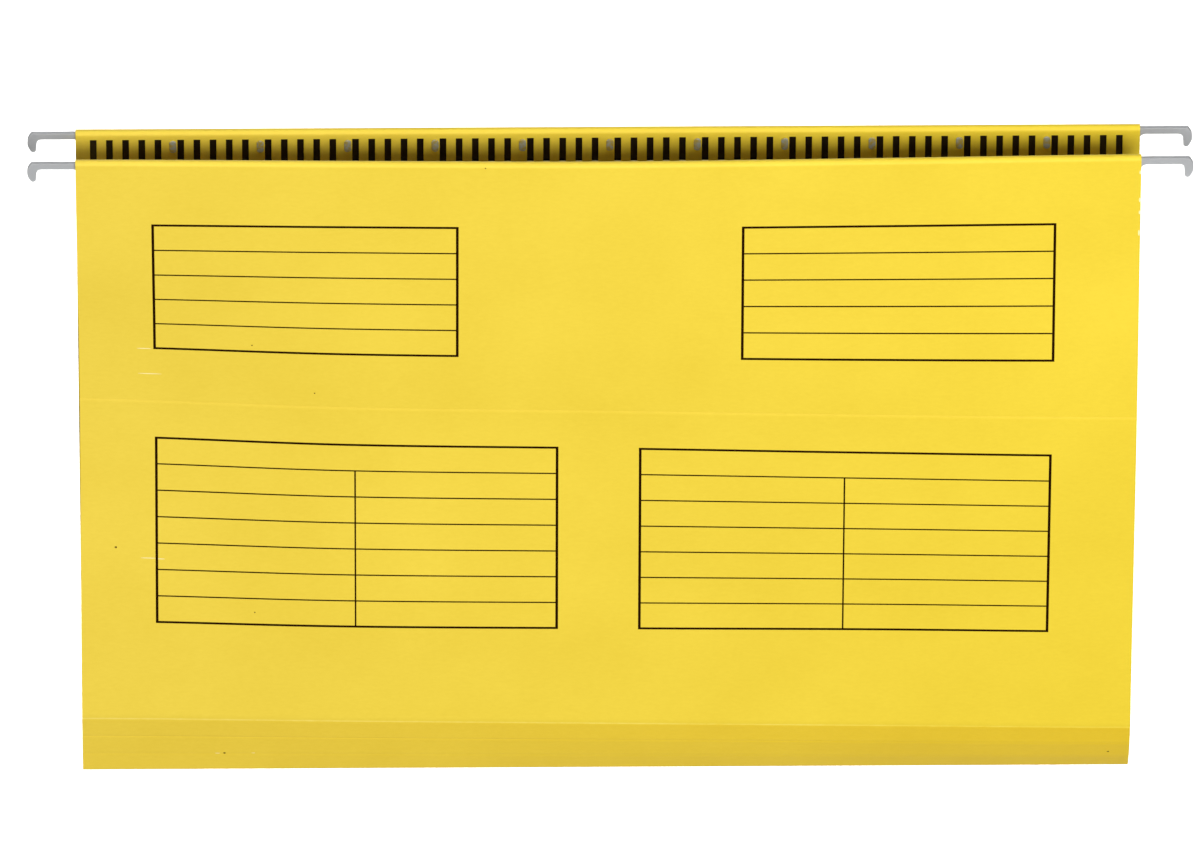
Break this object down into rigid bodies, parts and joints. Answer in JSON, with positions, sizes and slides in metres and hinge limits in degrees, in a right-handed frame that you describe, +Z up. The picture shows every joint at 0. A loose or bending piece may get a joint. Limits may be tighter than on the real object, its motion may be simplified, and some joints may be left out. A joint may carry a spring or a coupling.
{
  "type": "hanging file folder",
  "caption": "Card suspension file with two leaves on a scored folding base, a slotted hem along each top edge and hooked hanger bars that hang it on drawer rails.",
  "frame": {"origin": "midway between the four hook seats, on the level of the rail tops", "axes": "+X along the hanger bars to the right as seen from the front, -Y out of the front leaf, +Z up"},
  "size_m": [0.348, 0.0235, 0.2416],
  "materials": {
    "card": "matt yellow manila card",
    "bar_steel": "black lacquer",
    "sleeves": "moulded grey nylon",
    "glue_plugs": "set hot-melt glue",
    "hem_glue": "dried paste"
  },
  "bodies": {
    "back_half": {"back_panel": "card", "back_hem_fold": "card", "back_hem_flap": "card", "back_hem_glue": "hem_glue", "back_bar_plugs": "glue_plugs", "back_bar": "bar_steel", "back_left_sleeve": "sleeves", "back_right_sleeve": "sleeves"},
    "back_base": {"back_base_upper": "card", "back_base_middle": "card", "back_base_lower": "card"},
    "front_base": {"front_base_upper": "card", "front_base_middle": "card", "front_base_lower": "card"},
    "front_half": {"front_panel": "card", "front_hem_fold": "card", "front_hem_flap": "card", "front_hem_glue": "hem_glue", "front_bar_plugs": "glue_plugs", "front_bar": "bar_steel", "front_left_sleeve": "sleeves", "front_right_sleeve": "sleeves"}
  },
  "joints": [
    {"name": "back_leaf_fold", "type": "hinge", "parent": "back_half", "child": "back_base", "pos_m": [0, 0.0084, -0.21495], "axis": [1, 0, 0], "range_deg": [0, 60]},
    {"name": "bottom_fold", "type": "hinge", "parent": "back_base", "child": "front_base", "pos_m": [0, 0, -0.2381], "axis": [1, 0, 0], "range_deg": [0, 60]},
    {"name": "front_leaf_fold", "type": "hinge", "parent": "front_base", "child": "front_half", "pos_m": [0, -0.0084, -0.21495], "axis": [1, 0, 0], "range_deg": [-2.5, 60]}
  ]
}
